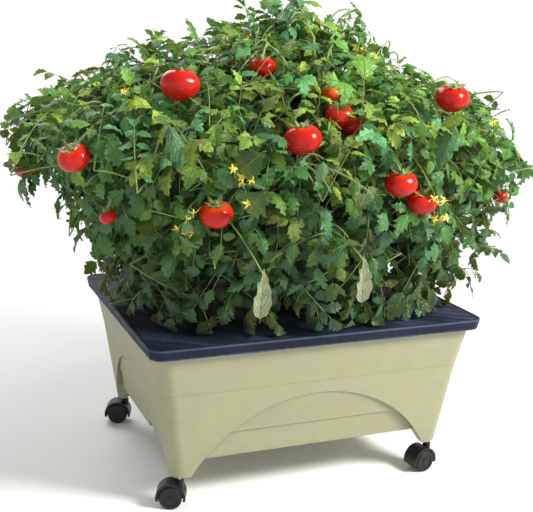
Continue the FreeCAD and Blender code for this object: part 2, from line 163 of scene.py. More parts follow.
def blotched(nt, attribute, blotches, amount):
    """A point attribute, raised and lowered by a noise and held within 0..1."""
    value = add(nt, "Attribute", attribute_name=attribute).outputs["Fac"]
    shift = math(nt, "MULTIPLY", math(nt, "SUBTRACT", blotches, 0.5), amount)
    return math(nt, "ADD", value, shift, use_clamp=True)


# ---- materials ----
def blank(name):
    m = bpy.data.materials.new(name)
    m.use_nodes = True
    return m, m.node_tree, m.node_tree.nodes["Principled BSDF"]


def coat(nt, bsdf, colour, roughness, height, bump, depth, shine=()):
    """Gives the shader its colour, roughness, bump and kind of shine."""
    lift = add(nt, "Bump", {"Strength": bump, "Distance": depth, "Height": height})
    plug(nt, bsdf, {"Base Color": colour, "Roughness": roughness, "Normal": lift.outputs["Normal"]})
    plug(nt, bsdf, shine)


def surface(name, stops, scale, rough, grain, bump, depth=0.0004, stretch=None, shine=()):
    """A material whose colour drifts through stops, with a finer grain in its roughness and bump."""
    m, nt, bsdf = blank(name)
    broad = noise(nt, scale, 5.0, stretch, 0.4)
    fine = noise(nt, grain, 6.0, stretch)
    coat(nt, bsdf, ramp(nt, broad, stops), spread(nt, fine, *rough), fine, bump, depth, shine)
    return m


def tub_material():
    """Moulded sage plastic, with painted shade in its corners and recesses, a painted highlight on its
    edges, and painted shade along the mould's seam, which also has a bump.
    """
    m, nt, bsdf = blank("tub_plastic")
    colour = ramp(nt, noise(nt, 34.0, 5.0, None, 0.4), [
        (0.2, (0.268, 0.268, 0.156)), (0.5, (0.282, 0.282, 0.166)), (0.8, (0.298, 0.297, 0.178)),
    ])
    # occlusion used as paint: the first darkens corners and recesses (painted shade), the second, looking
    # inside, lightens outer edges (painted highlight)
    corner = add(nt, "AmbientOcclusion", {"Distance": 0.016}, samples=8, only_local=True)
    edge = add(nt, "AmbientOcclusion", {"Distance": 0.0035}, samples=8, only_local=True, inside=True)
    painted_corner_shade = spread(nt, corner.outputs["AO"], 0.55, 1.0, (0.45, 0.97))
    pale = spread(nt, edge.outputs["AO"], 1.22, 1.0, (0.25, 0.75))
    seam = spread(nt, distance(nt, height_of(nt), SEAM_Z), 1.0, 0.0, (0.0004, 0.0013))
    # painted shade along the crease of the seam
    painted_seam_shade = spread(nt, seam, 1.0, 0.86, (0, 1))
    # the painted shade and painted highlight together, multiplied into the colour
    shade = math(nt, "MULTIPLY", math(nt, "MULTIPLY", painted_corner_shade, pale), painted_seam_shade)
    grain = noise(nt, 900.0, 6.0)
    skin = math(nt, "SUBTRACT", math(nt, "MULTIPLY", grain, 0.3), seam)
    coat(nt, bsdf, mix(nt, 1.0, colour, shade, "MULTIPLY"), spread(nt, grain, 0.42, 0.58),
         skin, 0.3, 0.0006)
    return m


def film_material():
    """Dark slate film, with a painted highlight where it turns over the rim and along its hem."""
    m, nt, bsdf = blank("mulch_film")
    colour = ramp(nt, noise(nt, 9.0, 5.0, None, 0.4), [
        (0.2, (0.008, 0.011, 0.021)), (0.5, (0.012, 0.017, 0.031)), (0.8, (0.02, 0.026, 0.046)),
    ])
    height = height_of(nt)
    # painted highlight: a pale slate blue along the turn over the rim and along the hem
    turn = spread(nt, distance(nt, height, COVER_Z - 0.003), 0.55, 0.0, (0.0003, 0.0022))
    hem = spread(nt, height, 1.0, 0.0, (HEM_Z + 0.0012, HEM_Z + 0.0036))
    colour = mix(nt, math(nt, "MAXIMUM", turn, hem), colour, (0.085, 0.110, 0.190, 1))
    streaks = noise(nt, 120.0, 4.0, (0.25, 0.25, 2.5))
    coat(nt, bsdf, colour, spread(nt, streaks, 0.42, 0.62), streaks, 0.35, 0.0008,
         {"Specular IOR Level": 0.10})
    return m


def leaf_material():
    """Tomato leaf: each leaflet has its own green, darkened and lightened by its painted light and shade,
    with a paler midrib and side veins.
    """
    m, nt, bsdf = blank("leaf")
    tone = add(nt, "Attribute", attribute_name="leaf_tone_and_painted_light").outputs["Color"]
    tone = add(nt, "SeparateColor", {"Color": tone}).outputs
    blade = add(nt, "UVMap", uv_map="leaf_uv").outputs["UV"]
    blade = add(nt, "SeparateXYZ", {"Vector": blade}).outputs
    across = distance(nt, blade["Y"], 0.5)
    midrib = spread(nt, across, 1.0, 0.0, (0.008, 0.045))
    slant = math(nt, "SUBTRACT", blade["X"], math(nt, "MULTIPLY", across, 0.55))
    side = math(nt, "PINGPONG", math(nt, "MULTIPLY", slant, 8.0), 0.5)
    vein = math(nt, "MAXIMUM", midrib, spread(nt, side, 0.75, 0.0, (0.0, 0.13)))
    green = ramp(nt, tone["Red"], [
        (0.0, (0.225, 0.3, 0.035)),
        (0.25, (0.125, 0.235, 0.028)),
        (0.5, (0.054, 0.158, 0.022)),
        (0.75, (0.029, 0.116, 0.026)),
        (1.0, (0.06, 0.182, 0.074)),
    ])
    mottle = spread(nt, noise(nt, 55.0, 5.0, distortion=0.5), 0.70, 1.32)
    # the attribute's green channel is the brightness, with painted light and shade in it
    colour = mix(nt, 1.0, green, math(nt, "MULTIPLY", tone["Green"], mottle), "MULTIPLY")
    colour = mix(nt, tone["Blue"], colour, (0.34, 0.38, 0.22, 1))
    colour = mix(nt, math(nt, "MULTIPLY", vein, 0.55), colour, (0.20, 0.33, 0.09, 1))
    fine, blister = noise(nt, 420.0, 3.0), noise(nt, 150.0, 2.0)
    skin = math(nt, "ADD", math(nt, "MULTIPLY", fine, 0.35), math(nt, "MULTIPLY", blister, 1.6))
    coat(nt, bsdf, colour, spread(nt, fine, 0.30, 0.52), math(nt, "SUBTRACT", skin, vein),
         0.9, 0.0018, {"Specular IOR Level": 0.5, "Sheen Weight": 0.05})
    glow = mix(nt, 0.45, colour, (0.30, 0.42, 0.03, 1))
    through = add(nt, "BsdfTranslucent", {"Color": glow})
    both = add(nt, "MixShader", {0: 0.24, 1: bsdf.outputs["BSDF"], 2: through.outputs["BSDF"]})
    plug(nt, nt.nodes["Material Output"], {"Surface": both.outputs["Shader"]})
    return m


def stem_material():
    """Green stems that turn woody brown where the age attribute says so."""
    m, nt, bsdf = blank("stem")
    streaks = noise(nt, 60.0, 6.0, (1.0, 1.0, 0.25), 0.6)
    colour = ramp(nt, blotched(nt, "age", streaks, 0.5), [
        (0.0, (0.205, 0.3, 0.065)),
        (0.3, (0.12, 0.19, 0.045)),
        (0.65, (0.07, 0.062, 0.026)),
        (1.0, (0.03, 0.02, 0.012)),
    ])
    coat(nt, bsdf, colour, spread(nt, streaks, 0.45, 0.75), streaks, 0.6, 0.001,
         {"Sheen Weight": 0.3})
    return m


def tomato_material():
    """Red skin with orange shoulders round the stalk, thin streaks and a wet gloss."""
    m, nt, bsdf = blank("tomato_skin")
    patches = noise(nt, 34.0, 4.0, distortion=0.8)
    colour = ramp(nt, blotched(nt, "ripeness", patches, 0.45), [
        (0.0, (0.66, 0.22, 0.014)),
        (0.25, (0.66, 0.075, 0.007)),
        (0.5, (0.55, 0.012, 0.004)),
        (1.0, (0.3, 0.003, 0.003)),
    ])
    coat(nt, bsdf, colour, spread(nt, patches, 0.13, 0.22), noise(nt, 600.0, 2.0), 0.08, 0.0006,
         {"Specular IOR Level": 0.32})
    return m


# name: colour stops, their scale, roughness, scale of the grain, bump, its depth, stretch
SURFACES = {
    "screen_plastic": (
        [(0.3, (0.03, 0.03, 0.032)), (0.7, (0.05, 0.05, 0.052))], 40.0, (0.45, 0.6), 700.0, 0.2),
    "tube_plastic": (
        [(0.3, (0.02, 0.02, 0.022)), (0.7, (0.035, 0.035, 0.037))], 40.0, (0.35, 0.5), 700.0, 0.15),
    "soil": (
        [(0.3, (0.012, 0.008, 0.005)), (0.55, (0.035, 0.024, 0.015)), (0.75, (0.11, 0.08, 0.055))],
        220.0, (0.85, 1.0), 500.0, 0.9, 0.002),
    "caster_plastic": (
        [(0.3, (0.006, 0.006, 0.006)), (0.7, (0.012, 0.012, 0.012))],
        60.0, (0.3, 0.46), 800.0, 0.25, 0.0003),
    "wheel_plastic": (
        [(0.3, (0.009, 0.008, 0.007)), (0.6, (0.015, 0.013, 0.012)), (0.85, (0.028, 0.025, 0.022))],
        90.0, (0.42, 0.62), 700.0, 0.35),
    "steel": (
        [(0.3, (0.42, 0.41, 0.4)), (0.7, (0.58, 0.57, 0.56))],
        50.0, (0.22, 0.4), 900.0, 0.15, 0.0002, (1.0, 1.0, 0.1)),
    "coated_wire": (
        [(0.3, (0.014, 0.02, 0.014)), (0.7, (0.03, 0.038, 0.028))],
        60.0, (0.35, 0.5), 500.0, 0.2),
    "petal": (
        [(0.25, (0.8, 0.52, 0.02)), (0.55, (0.9, 0.7, 0.05)), (0.8, (0.93, 0.82, 0.2))],
        160.0, (0.45, 0.6), 700.0, 0.3),
}
SHINE = {
    "caster_plastic": {"Specular IOR Level": 0.28}, "wheel_plastic": {"Specular IOR Level": 0.32},
    "steel": {"Metallic": 1.0}, "petal": {"Sheen Weight": 0.2},
}


def make_materials():
    made = {name: surface(name, *values, shine=SHINE.get(name, {})) for name, values in SURFACES.items()}
    return {
        **made, "tub_plastic": tub_material(), "mulch_film": film_material(), "leaf": leaf_material(),
        "stem": stem_material(), "tomato_skin": tomato_material(),
    }


MATERIALS = make_materials()
# part of a node's name: material
NODE_MATERIALS = {
    "planter_tub": "tub_plastic", "aeration_screen": "screen_plastic", "fill_tube": "tube_plastic",
    "trellis_": "coated_wire", "_socket": "caster_plastic", "_hood": "caster_plastic",
    "_stem": "steel", "_axle": "steel", "_wheel_": "wheel_plastic",
}


def dress_nodes():
    """The CAD parts that stay get their finished materials."""
    for name, node in NODES.items():
        for key, material in NODE_MATERIALS.items():
            if key in name and not name.startswith("plant_"):
                node.data.materials.clear()
                node.data.materials.append(MATERIALS[material])


# ---- mesh helpers ----
def mesh_object(name, vertices, faces, material):
    """An object from arrays of points and of quads or triangles."""
    vertices, faces = np.asarray(vertices, np.float32), np.asarray(faces, np.int32)
    me = bpy.data.meshes.new(name)
    sides = faces.shape[1]
    me.vertices.add(len(vertices))
    me.vertices.foreach_set("co", vertices.ravel())
    me.loops.add(faces.size)
    me.loops.foreach_set("vertex_index", faces.ravel())
    me.polygons.add(len(faces))
    me.polygons.foreach_set("loop_start", np.arange(0, faces.size, sides, dtype=np.int32))
    me.polygons.foreach_set("use_smooth", np.full(len(faces), True))
    me.update(calc_edges=True)
    me.validate()
    me.materials.append(MATERIALS[material])
    o = bpy.data.objects.new(name, me)
    bpy.context.scene.collection.objects.link(o)
    return o


def point_value(o, name, values):
    o.data.attributes.new(name, "FLOAT", "POINT").data.foreach_set(
        "value", np.asarray(values, np.float32))


def grid_faces(rows, columns, closed=False):
    """Quads over a grid of points; closed joins the last column to the first."""
    r, c = np.meshgrid(np.arange(rows - 1), np.arange(columns if closed else columns - 1), indexing="ij")
    a, b = r * columns + c, r * columns + (c + 1) % columns
    return np.stack([a, b, b + columns, a + columns], -1).reshape(-1, 4)


class Tubes:
    """Round rods along lines, gathered into one mesh."""

    def __init__(self):
        self.points, self.faces, self.caps, self.ages, self.count = [], [], [], [], 0

    def add(self, line, radii, ages, sides=6):
        line = np.clip(np.asarray(line, float), -LIMIT, LIMIT)
        n = len(line)
        radii, ages = np.broadcast_to(radii, n), np.broadcast_to(ages, n)
        along = unit(np.gradient(line, axis=0))
        aslant = (0.31, 0.52, 0.80)
        aside = unit(np.cross(along, aslant if abs(along[0] @ aslant) < 0.9 else (1, 0, 0)))
        other = np.cross(along, aside)
        turn = (np.arange(sides) * 2 * pi / sides)[None, :, None]
        ring = aside[:, None] * np.cos(turn) + other[:, None] * np.sin(turn)
        body = line[:, None] + ring * radii[:, None, None]
        this, after = np.arange(sides), (np.arange(sides) + 1) % sides
        middles, top = np.full((2, sides), n * sides) + ((0,), (1,)), (n - 1) * sides
        low = np.stack([middles[0], after, this], -1)
        high = np.stack([middles[1], top + this, top + after], -1)
        self.points += [body.reshape(-1, 3), line[[0, -1]]]
        self.faces += [grid_faces(n, sides, closed=True) + self.count]
        self.caps += [low + self.count, high + self.count]
        self.ages += [np.repeat(ages, sides), ages[[0, -1]]]
        self.count += n * sides + 2

    def object(self, name):
        quads = np.concatenate(self.faces)
        triangles = np.concatenate([quads[:, [0, 1, 2]], quads[:, [0, 2, 3]], *self.caps])
        o = mesh_object(name, np.concatenate(self.points), triangles, "stem")
        point_value(o, "age", np.concatenate(self.ages))
        return o


def bent(start, end, lift, steps, wobble=0.0):
    """A line from start to end that bows by lift at its middle."""
    t = np.linspace(0, 1, steps)[:, None]
    middle = (start + end) / 2 + lift
    line = (1 - t) ** 2 * start + 2 * t * (1 - t) * middle + t ** 2 * end
    if wobble:
        line[1:-1] += rng.normal(0, wobble, (steps - 2, 3))
    return line


# ---- mulch cover ----
COVER_POINTS = 560
FILM_CORNER = 0.024
FILM_TURN = 0.004
PLANT_HOLE = 0.024
OTHER_HOLES = {"fill_tube": 0.0172, "trellis_stake_left": 0.0062, "trellis_stake_right": 0.0062}


def rounded_ring(half_x, half_y, radius):
    """Points evenly round a rectangle with rounded corners."""
    x, y, arc = half_x - radius, half_y - radius, radius * pi / 2
    starts = np.concatenate([[0], np.cumsum([2 * x, arc, 2 * y, arc] * 2)])
    centres = [(x, -y), (x, y), (-x, y), (-x, -y)]
    out = np.zeros((COVER_POINTS, 2))
    for i, s in enumerate(np.linspace(0, starts[-1], COVER_POINTS, endpoint=False)):
        leg = min(int(np.searchsorted(starts, s, side="right")) - 1, 7)
        d = s - starts[leg]
        side = leg // 2
        angle = -pi / 2 + side * pi / 2
        if leg % 2:
            (cx, cy), angle, d = centres[side], angle + d / radius, 0.0
        else:
            cx, cy = centres[side - 1]
        out[i] = (cx + radius * cos(angle) - d * sin(angle), cy + radius * sin(angle) + d * cos(angle))
    return out


def smooth_waves(waves, seed):
    """Gentle waves round the cover, between about -1 and 1."""
    r = np.random.default_rng(seed)
    a = np.arange(COVER_POINTS) * 2 * pi / COVER_POINTS
    total = sum(np.sin(a * w + r.uniform(0, 2 * pi)) * r.uniform(0.5, 1) for w in waves)
    return total / (0.8 * len(waves))


RUFFLE = smooth_waves((97, 131, 163), 1)
SLACK = smooth_waves((7, 11, 17, 23), 2)


def cover_levels():
    """(inset, height) rings of the film from its hem, over the edge, to the middle."""
    edge_z = COVER_Z - 0.0042
    skirt = [(0.0040, HEM_Z + 0.0006), (0.0034, HEM_Z + 0.003), (0.0026, HEM_Z + 0.007),
             (0.0016, HEM_Z + 0.011), (0.0007, HEM_Z + 0.0145), (0.0002, edge_z)]
    edge = [(FILM_TURN * (1 - cos(a)), edge_z + FILM_TURN * sin(a)) for a in np.linspace(0.25, pi / 2, 5)]
    widening = np.cumsum((0.003, 0.004, 0.005, 0.006, 0.007, 0.008, 0.009, 0.010, 0.011))
    even = widening[-1] + 0.012 * np.arange(1, 16)
    inner = [(FILM_TURN + d, COVER_Z) for d in (*widening, *even, 0.2545)]
    return skirt + edge + inner


def cover_ring(inset, z):
    """One closed line of the film; it's wavier the lower it is on the skirt."""
    radius = max(FILM_CORNER - inset * 0.55, 0.0015)
    ring = rounded_ring(HALF_LENGTH - inset, HALF_WIDTH - inset, radius)
    out = unit(ring - rounded_ring(HALF_LENGTH - inset - 0.005, HALF_WIDTH - inset - 0.005, radius))
    drop = np.clip((COVER_Z - z) / 0.021, 0, 1)
    ring = ring + out * (RUFFLE * 0.0011 * drop ** 1.5 + SLACK * 0.0008 * drop)[:, None]
    return np.column_stack([ring, z + SLACK * 0.0012 * drop])


def wrinkle(points):
    """The top's swell, its creases near the corners, and the bunch at the back left."""
    top = points[:, 2] >= COVER_Z - 1e-4
    x, y = points[:, 0], points[:, 1]
    swell = 0.0007 * np.sin(x * 21 + 1.1) * np.sin(y * 17 + 0.4) + 0.0005 * np.sin(x * 47 + y * 39)
    crease = 0.0006 * np.sin((x + 1.4 * y) * 150) * np.clip((np.abs(x) + np.abs(y) - 0.36) / 0.16, 0, 1)
    points[top, 2] += (swell + crease - 0.0011)[top]
    bunch = np.exp(-(((x + 0.262) / 0.026) ** 2 + ((y - 0.232) / 0.014) ** 2))
    points[top, 2] += (0.0050 * bunch * (0.7 + 0.3 * np.sin(x * 420 + y * 260)))[top]


def cover_mesh():
    rings = [cover_ring(inset, z) for inset, z in cover_levels()]
    points = np.concatenate(rings)
    wrinkle(points)
    faces = grid_faces(len(rings), COVER_POINTS, closed=True)
    holes = [(*place, PLANT_HOLE) for place in plant_roots()]
    for name, radius in OTHER_HOLES.items():
        low, high = box_of(name)
        holes.append((*((low + high) / 2)[:2], radius))
    for hx, hy, radius in holes:
        away = points[:, :2] - (hx, hy)
        far = norm(away, axis=1)
        inside = far < radius
        if not inside[faces].all(axis=1).any():
            nearest = norm(points[faces].mean(axis=1)[:, :2] - (hx, hy), axis=1).argmin()
            inside[faces[nearest]] = True
        faces = faces[~inside[faces].all(axis=1)]
        points[inside, :2] = (hx, hy) + unit(away[inside]) * radius
    used = np.unique(faces)
    renumber = np.zeros(len(points), int)
    renumber[used] = np.arange(len(used))
    return points[used], renumber[faces]


def stem_points(plant):
    return np.array([v.co for v in NODES[f"plant_{plant}_stem"].data.vertices])


def plant_roots():
    """Where each plant comes through the cover."""
    places = []
    for plant in PLANTS:
        co = stem_points(plant)
        low = co[co[:, 2] < co[:, 2].min() + 0.02]
        places.append((low.min(0) + low.max(0))[:2] / 2)
    return places


def make_hem():
    """The elastic in the hem, with the film round it."""
    inset, radius = 0.0052, 0.021
    ring = rounded_ring(HALF_LENGTH - inset, HALF_WIDTH - inset, radius)
    line = np.column_stack([ring, HEM_Z + 0.0030 + SLACK * 0.0008])
    hem = Tubes()
    thickness = 0.0022 + 0.0004 * np.append(RUFFLE, RUFFLE[0])
    hem.add(np.vstack([line, line[:1]]), thickness, 0.0, 8)
    return hem.object("cover_hem")


def make_cover():
    points, faces = cover_mesh()
    cover = mesh_object("mulch_film", points, faces, "mulch_film")
    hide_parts("mulch_cover")
    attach(cover, "root")
    corner = points[faces]
    crossed = np.cross(corner[:, 2] - corner[:, 0], corner[:, 3] - corner[:, 1])
    area = float(norm(crossed, axis=1).sum() / 2)
    hem_object = make_hem()
    hem_object.data.materials[0] = MATERIALS["mulch_film"]
    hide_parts("cover_elastic")
    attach(hem_object, "root")


# ---- soil ----
def make_soil():
    """Growing mix with a crumbly top, held by the tub's tapering walls."""
    low, high = box_of("potting_mix")
    rows, columns, gap = 150, 180, 0.008
    gx, gy = np.meshgrid(np.linspace(-1, 1, columns), np.linspace(-1, 1, rows))
    gx, gy = gx * (high[0] - gap), gy * (high[1] - gap)
    r = np.random.default_rng(11)
    bumps = r.normal(0, 1, (rows, columns))
    for _ in range(2):
        beside = sum(np.roll(bumps, step, axis) for axis in (0, 1) for step in (1, -1))
        bumps = (bumps + beside) / 5
    z = high[2] - 0.004 + np.clip(bumps, -1, 1) * 0.0045
    top = np.column_stack([gx.ravel(), gy.ravel(), z.ravel()])
    grid = np.arange(len(top)).reshape(rows, columns)
    edge = np.concatenate([grid[0], grid[1:, -1], grid[-1, -2::-1], grid[-2:0:-1, 0]])
    faces, rings, before = [grid_faces(rows, columns)], [top], edge
    for height, inset in ((high[2] - 0.070, 0.028), (low[2] + 0.040, 0.042), (low[2] + 0.001, 0.060)):
        ring = top[edge].copy()
        ring[:, :2] *= (high[:2] - inset) / (high[:2] - gap)
        ring[:, 2] = height
        now = sum(len(r) for r in rings) + np.arange(len(edge))
        faces.append(np.stack([before, now, np.roll(now, -1), np.roll(before, -1)], -1))
        rings.append(ring)
        before = now
    soil = mesh_object("soil", np.vstack(rings), np.vstack(faces), "soil")
    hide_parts("potting_mix")
    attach(soil, "root")


# ---- shape of the foliage ----
# height, then how far the leaf tips reach to the left, right, front and back
MOUND = np.array([
    (0.3, 0.29, 0.305, 0.23, 0.185),
    (0.345, 0.3, 0.315, 0.252, 0.21),
    (0.412, 0.325, 0.34, 0.292, 0.25),
    (0.502, 0.372, 0.388, 0.34, 0.3),
    (0.58, 0.425, 0.43, 0.362, 0.318),
    (0.62, 0.447, 0.412, 0.356, 0.3),
    (0.66, 0.447, 0.36, 0.34, 0.275),
    (0.705, 0.375, 0.28, 0.288, 0.225),
    (0.76, 0.22, 0.155, 0.19, 0.14),
    (0.808, 0.062, 0.06, 0.065, 0.06),
])
MOUND_TOP = MOUND[-1, 0]
MOUND_MIDDLE = np.array((0.0, 0.0, 0.50))
ROUNDNESS = 2.5
# nothing of the plants reaches past this
LIMIT = np.array((0.540, 0.411, 0.878))


def mound_reach(p):
    left, right, front, back = (np.interp(p[..., 2], MOUND[:, 0], MOUND[:, k]) for k in (1, 2, 3, 4))
    return np.where(p[..., 0] > 0, right, left), np.where(p[..., 1] > 0, back, front)


def mound_depth(p):
    """About 1 on the surface of the mound, less inside."""
    hx, hy = mound_reach(p)
    over = np.clip((p[..., 2] - MOUND_TOP) / 0.1, 0, None)
    return (np.abs(p[..., 0]) / hx) ** ROUNDNESS + (np.abs(p[..., 1]) / hy) ** ROUNDNESS + over * 4


def mound_normal(point, step=0.012):
    """The way out of the mound."""
    p = point[None]
    grad = np.stack([mound_depth(p + d) - mound_depth(p - d) for d in np.eye(3) * step], -1)
    return unit(grad)[0]


def even_points(count, share, low, seed, tries=16):
    """Points spread evenly over the mound, at a share of its size about its middle."""
    r = np.random.default_rng(seed)
    heading = unit(r.normal(0, 1, (count * tries, 3)) * (1.0, 0.9, 0.8))
    reach = np.full(len(heading), 0.02)
    for _ in range(150):
        inside = mound_depth(MOUND_MIDDLE + heading * reach[:, None]) < 1
        reach = np.where(inside, reach + 0.004, reach)
    pool = MOUND_MIDDLE + heading * reach[:, None]
    far = r.random(len(pool)) < (reach / 0.5) ** 2
    pool = pool[(pool[:, 2] > low) & (far | (np.arange(len(pool)) % 3 == 0))]
    found = [0]
    gap = norm(pool - pool[0], axis=1)
    while len(found) < min(count, len(pool)):
        found.append(int((gap * (0.75 + 0.25 * r.random(len(pool)))).argmax()))
        gap = np.minimum(gap, norm(pool - pool[found[-1]], axis=1))
    x, y, z = pool[found].T
    lumps = 0.035 * np.sin(x * 19 + 1) * np.sin(y * 23 + 2) + 0.02 * np.sin(z * 41)
    share = share * (1 + lumps + r.normal(0, 0.018, len(found)))
    return MOUND_MIDDLE + (pool[found] - MOUND_MIDDLE) * share[:, None]


# ---- leaflets ----
ROWS, COLUMNS = 14, 5
# place along a leaflet and how much of its half width is there
OUTLINE = np.array([
    (0.0, 0.03), (0.11, 0.03), (0.16, 0.55), (0.25, 0.9), (0.37, 1.0), (0.5, 0.92),
    (0.64, 0.72), (0.77, 0.48), (0.89, 0.22), (0.96, 0.08), (1.0, 0.0),
])


def leaflet(width, droop, fold, twist, teeth, seed):
    """One leaflet of unit length: stalk at the origin, tip along +X, upper face +Z."""
    r = np.random.default_rng(seed)
    u = np.linspace(0, 1, ROWS)[:, None] ** 0.92 + np.zeros(COLUMNS)
    v = np.linspace(-1, 1, COLUMNS)[None, :] + np.zeros((ROWS, 1))
    half = width * np.interp(u, OUTLINE[:, 0], OUTLINE[:, 1])
    tooth = np.array((-1.0, 0.25, 1.0))[np.arange(ROWS) % 3][:, None] * teeth
    tooth = tooth * (0.6 + 0.8 * r.random((ROWS, COLUMNS)))
    inside = (u > 0.13) & (u < 0.97)
    edge = np.abs(v) > 0.9
    y = half * v * np.where(inside & edge, 1 + tooth, 1.0)
    x = u + np.where(inside, 0.10 * np.abs(v) * np.interp(u, (0, 0.35, 1), (-0.6, 0.6, 0)), 0)
    x = x + np.where(inside & edge, 0.35 * teeth * (tooth > 0), 0) * (1 - u)
    pucker = 0.034 * np.sin(u * 2 * pi * 4.3 + r.uniform(0, 6)) * np.abs(v) * np.where(inside, 1, 0)
    z = fold * np.abs(y) + pucker * (0.4 + 1.1 * r.random((ROWS, COLUMNS)))
    turn = twist * u
    y, z = y * np.cos(turn) - z * np.sin(turn), y * np.sin(turn) + z * np.cos(turn)
    bend = droop * x
    sweep, sink = np.sin(bend) / droop, (1 - np.cos(bend)) / droop
    x, z = sweep + z * np.sin(bend), z * np.cos(bend) - sink
    return np.stack([x, y, z], -1).reshape(-1, 3)


def make_templates():
    """Rounder small leaflets first, then cut and pointed large ones, then a limp smooth one."""
    r = np.random.default_rng(5)
    # ranges of width, droop, fold, twist and teeth
    small = (0.22, 0.33), (0.25, 1.3), (-0.35, 0.65), (-0.7, 0.7), (0.08, 0.26)
    large = (0.19, 0.28), (0.5, 1.7), (-0.55, 0.55), (-0.9, 0.9), (0.20, 0.38)
    made = [leaflet(*(r.uniform(*span) for span in ranges), seed + i)
            for ranges, seed in ((small, 100), (large, 200)) for i in range(KINDS)]
    return np.array([*made, leaflet(0.17, 0.25, 0.35, 0.5, 0.0, 300)])


KINDS = 14
LARGE_FROM = 0.037
TEMPLATES = make_templates()
LEAF_U, LEAF_V = np.meshgrid(np.linspace(0, 1, ROWS), np.linspace(0, 1, COLUMNS), indexing="ij")
LEAF_GRID = np.stack([LEAF_U, LEAF_V], -1).reshape(-1, 2)
LEAF_FACES = grid_faces(ROWS, COLUMNS)


class Blades:
    """The leaflets of one plant."""

    def __init__(self):
        self.rows = []

    def add(self, place, ahead, normal, length, tone, light, width=1.0, pale=0.0, kind=None):
        ahead = unit(ahead)
        side = unit(np.cross(normal, ahead))
        upper = np.cross(ahead, side)
        if kind is None:
            kind = rng.integers(KINDS) + (KINDS if length > LARGE_FROM else 0)
        self.rows.append((place, ahead, side, upper, length, width, tone, light, kind, pale))

    def points(self):
        place, ahead, side, upper = (np.array([r[i] for r in self.rows]) for i in range(4))
        length, width = (np.array([r[i] for r in self.rows])[:, None, None] for i in (4, 5))
        shape = TEMPLATES[[r[8] for r in self.rows]] * length
        return (place[:, None] + shape[..., :1] * ahead[:, None]
                + shape[..., 1:2] * side[:, None] * width + shape[..., 2:] * upper[:, None])

    def object(self, name, keep):
        points = self.points()
        kept = keep(points)
        points = rest_on_cover(points[kept])
        tone = np.array([(r[6], r[7], r[9], 1.0) for r in self.rows])[kept]
        count, size = len(points), len(LEAF_GRID)
        faces = (LEAF_FACES[None] + (np.arange(count) * size)[:, None, None]).reshape(-1, 4)
        o = mesh_object(name, points.reshape(-1, 3), faces, "leaf")
        me = o.data
        # the colour attribute holds colour place, brightness with painted light and shade, and paleness
        colour = me.attributes.new("leaf_tone_and_painted_light", "FLOAT_COLOR", "POINT")
        colour.data.foreach_set("color", np.repeat(tone, size, axis=0).astype(np.float32).ravel())
        corner = np.zeros(len(me.loops), np.int32)
        me.loops.foreach_get("vertex_index", corner)
        local = LEAF_GRID[corner % size]
        cells = int(np.ceil(np.sqrt(count)))
        cell = corner // size
        atlas = (np.stack([cell % cells, cell // cells], -1) + 0.06 + 0.88 * local) / cells
        for layer, values in (("OFBake", atlas), ("leaf_uv", local)):
            me.uv_layers.new(name=layer).data.foreach_set("uv", values.astype(np.float32).ravel())
        return o


def rest_on_cover(points):
    """Leaves that would go through the cover lie on it, almost flat."""
    margin, flattened, deepest = 0.004, 0.012, -0.02
    x, y, z = np.moveaxis(points, -1, 0)
    floor = COVER_Z + 0.0025 + 0.003 * rng.random(len(points))[:, None]
    low = (np.abs(x) < HALF_LENGTH + margin) & (np.abs(y) < HALF_WIDTH + margin) & (z < floor)
    points[..., 2] = np.where(low, floor + flattened * np.maximum(z - floor, deepest), z)
    return points


# ---- fruit ----
FRUIT_RINGS, FRUIT_SIDES = 26, 44


def fruit_places(plant):
    """Centre and diameter of each fruit of a plant, from its CAD node."""
    bm = bmesh.new()
    bm.from_mesh(NODES[f"plant_{plant}_fruit"].data)
    bmesh.ops.remove_doubles(bm, verts=bm.verts, dist=0.0001)
    found, seen = [], set()
    for start in bm.verts:
        if start in seen:
            continue
        island, queue = {start}, [start]
        while queue:
            v = queue.pop()
            beside = {e.other_vert(v) for e in v.link_edges} - island
            island |= beside
            queue += beside
        seen |= island
        co = np.array([v.co[:] for v in island])
        width = float(np.ptp(co[:, 0]))
        if width > 0.01:
            found.append(((co.max(0) + co.min(0)) / 2, width))
    bm.free()
    return sorted(found, key=lambda f: tuple(np.round(f[0], 4)))


def fruit_mesh(centre, radius, axis, seed):
    """A ribbed tomato; axis points to its stalk. Also gives how ripe each point is."""
    r = np.random.default_rng(seed)
    a = np.linspace(0, pi, FRUIT_RINGS)[:, None]
    b = np.linspace(0, 2 * pi, FRUIT_SIDES, endpoint=False)[None, :]
    ribs = int(r.integers(4, 7))
    rib = np.cos(b * ribs + r.uniform(0, 6)) * 0.045 + np.cos(b * 2 + r.uniform(0, 6)) * 0.03
    near_top = np.exp(-(a / 0.75) ** 2)
    size = 1 + rib * np.sin(a) ** 0.7 * (0.35 + 0.9 * near_top)
    flat = np.sin(a) * size
    tall = 0.80 * np.cos(a) - 0.34 * np.exp(-(a / 0.36) ** 2) - 0.05 * np.exp(-((pi - a) / 0.5) ** 2)
    x, y, z = flat * np.cos(b), flat * np.sin(b), tall + 0 * b
    local = np.stack([x, y, z], -1).reshape(-1, 3) * radius * 0.985
    side = unit(np.cross(axis, (0.2, 1.0, 0.1)))
    third = np.cross(axis, side)
    points = centre + local[:, :1] * side + local[:, 1:2] * third + local[:, 2:] * axis
    shoulder = np.exp(-(a / 0.95) ** 2) + 0 * b
    start = r.uniform(0.62, 0.85)
    faces = grid_faces(FRUIT_RINGS, FRUIT_SIDES, closed=True)
    return points, faces, (start - 0.55 * shoulder).ravel()


# a leaf paler than this is limp and hangs
LIMP = 0.9
